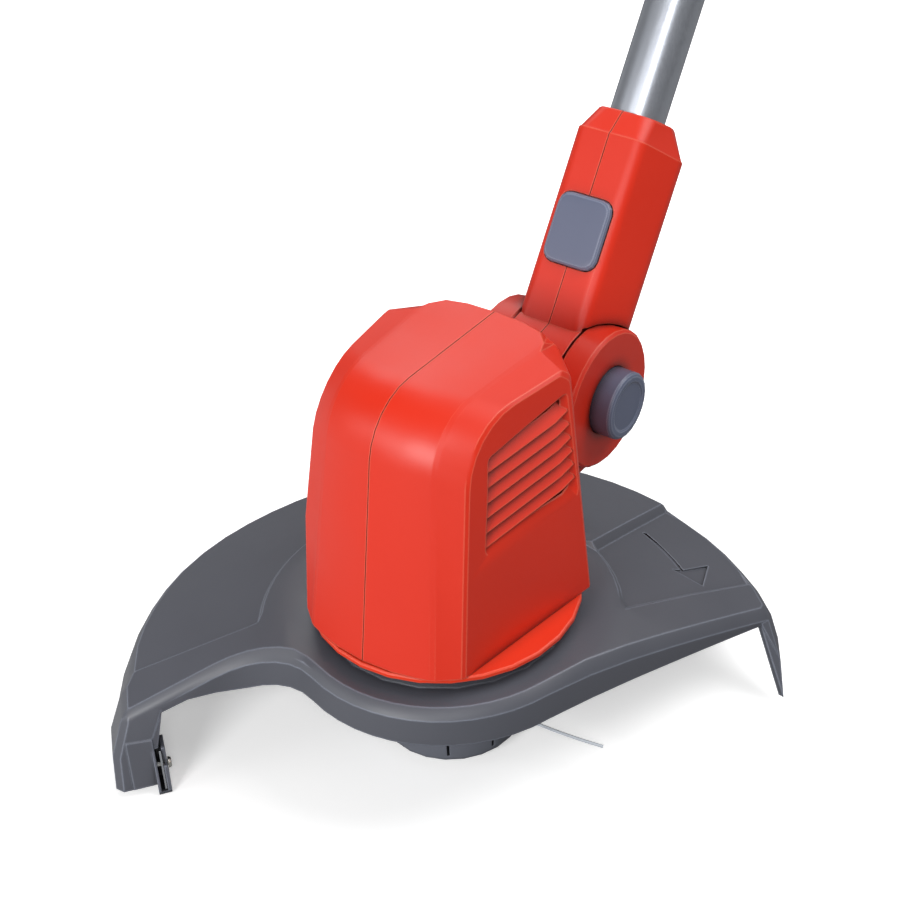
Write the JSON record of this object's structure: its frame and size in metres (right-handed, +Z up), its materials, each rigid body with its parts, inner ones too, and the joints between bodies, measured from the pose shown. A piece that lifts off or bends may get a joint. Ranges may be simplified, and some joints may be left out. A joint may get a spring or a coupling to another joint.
{
  "type": "electric string trimmer",
  "caption": "Corded grass trimmer with a tilting motor head, half-round plant guard, bump-feed line head, telescopic aluminium shaft, bow guide handle and closed rear handle.",
  "frame": {"origin": "middle of the rear handle's grip, where the hand holds it", "axes": "+Z up, +X to the operator's right with the round tilt button, +Y from the cutter head back to the operator"},
  "size_m": [0.2847, 0.8331, 1.0226],
  "materials": {
    "red_abs": "satin",
    "slate_abs": "satin",
    "guard_pp": "fine grain",
    "dark_abs": "satin",
    "aluminium": "anodised satin",
    "steel": "bright zinc",
    "lamination_steel": "oiled",
    "copper": "enamelled",
    "carbon": "matte",
    "nylon": "translucent satin"
  },
  "bodies": {
    "handle": {"rear_handle_left": "red_abs", "rear_handle_right": "red_abs", "switch_block": "dark_abs", "mains_lead_stub": "dark_abs", "upper_tube": "aluminium", "guide_bracket": "dark_abs", "guide_bolt": "steel"},
    "trigger": {"trigger": "slate_abs"},
    "lock_off": {"lock_off_button": "slate_abs"},
    "guide": {"guide_handle": "dark_abs"},
    "clamp": {"clamp_collar": "dark_abs"},
    "lower_shaft": {"lower_tube": "aluminium"},
    "sleeve": {"sleeve_left": "red_abs", "sleeve_right": "red_abs"},
    "swivel_key": {"swivel_button": "slate_abs"},
    "head": {"motor_housing_left": "red_abs", "motor_housing_right": "red_abs", "base_disc": "red_abs", "pivot_bolt": "steel", "pivot_cap": "red_abs", "tilt_spring": "steel", "stator_core": "lamination_steel", "lower_field_coil": "copper", "upper_field_coil": "copper", "lower_bearing": "steel", "upper_bearing": "steel", "carbon_brush_left": "carbon", "carbon_brush_right": "carbon", "guard": "guard_pp", "guard_screw_1": "steel", "guard_screw_2": "steel", "guard_screw_3": "steel", "guard_screw_4": "steel", "line_cutter": "steel", "cutter_screw": "steel"},
    "tilt_key": {"tilt_button": "slate_abs"},
    "spindle": {"armature": "copper", "cooling_fan": "dark_abs", "spool_housing": "dark_abs", "line_eyelet": "steel", "cutting_line": "nylon", "spool_cap": "dark_abs", "spool_spring": "steel"},
    "spool": {"line_spool": "dark_abs", "wound_line": "nylon"}
  },
  "joints": [
    {"name": "trigger_pull", "type": "hinge", "parent": "handle", "child": "trigger", "pos_m": [0, 0.02475, 0.01943], "axis": [-1, 0, 0], "range_deg": [0, 5], "stiffness_Nm_per_rad": 0.8, "springref_deg": -14.32},
    {"name": "lock_off_press", "type": "slide", "parent": "handle", "child": "lock_off", "axis": [0, 0.8261, -0.5635], "range_m": [0, 0.003], "stiffness_N_per_m": 400, "springref_m": -0.004},
    {"name": "guide_swing", "type": "hinge", "parent": "handle", "child": "guide", "pos_m": [0, -0.15158, -0.16897], "axis": [1, 0, 0], "range_deg": [-20, 45]},
    {"name": "clamp_twist", "type": "hinge", "parent": "handle", "child": "clamp", "pos_m": [0, -0.29923, -0.43866], "axis": [0, 0.5635, 0.8261], "range_deg": [0, 90]},
    {"name": "shaft_telescope", "type": "slide", "parent": "handle", "child": "lower_shaft", "axis": [0, 0.5635, 0.8261], "range_m": [0, 0.158]},
    {"name": "head_swivel", "type": "hinge", "parent": "lower_shaft", "child": "sleeve", "pos_m": [0, -0.51563, -0.75588], "axis": [0, 0.5635, 0.8261], "range_deg": [0, 180]},
    {"name": "swivel_key_press", "type": "slide", "parent": "sleeve", "child": "swivel_key", "axis": [0, 0.8261, -0.5635], "range_m": [0, 0.002], "stiffness_N_per_m": 600, "springref_m": -0.004},
    {"name": "head_tilt", "type": "hinge", "parent": "sleeve", "child": "head", "pos_m": [0, -0.51563, -0.75588], "axis": [1, 0, 0], "range_deg": [-32, 30]},
    {"name": "tilt_key_press", "type": "slide", "parent": "head", "child": "tilt_key", "axis": [-1, 0, 0], "range_m": [0, 0.003], "stiffness_N_per_m": 700, "springref_m": -0.004, "deforming": ["tilt_spring"]},
    {"name": "spindle_spin", "type": "hinge", "parent": "head", "child": "spindle", "pos_m": [0, -0.60713, -0.89888], "axis": [0, 0, 1], "continuous": true},
    {"name": "bump_feed", "type": "slide", "parent": "spindle", "child": "spool", "axis": [0, 0, 1], "range_m": [0, 0.0035], "stiffness_N_per_m": 1500, "springref_m": -0.004, "deforming": ["spool_spring"]}
  ]
}
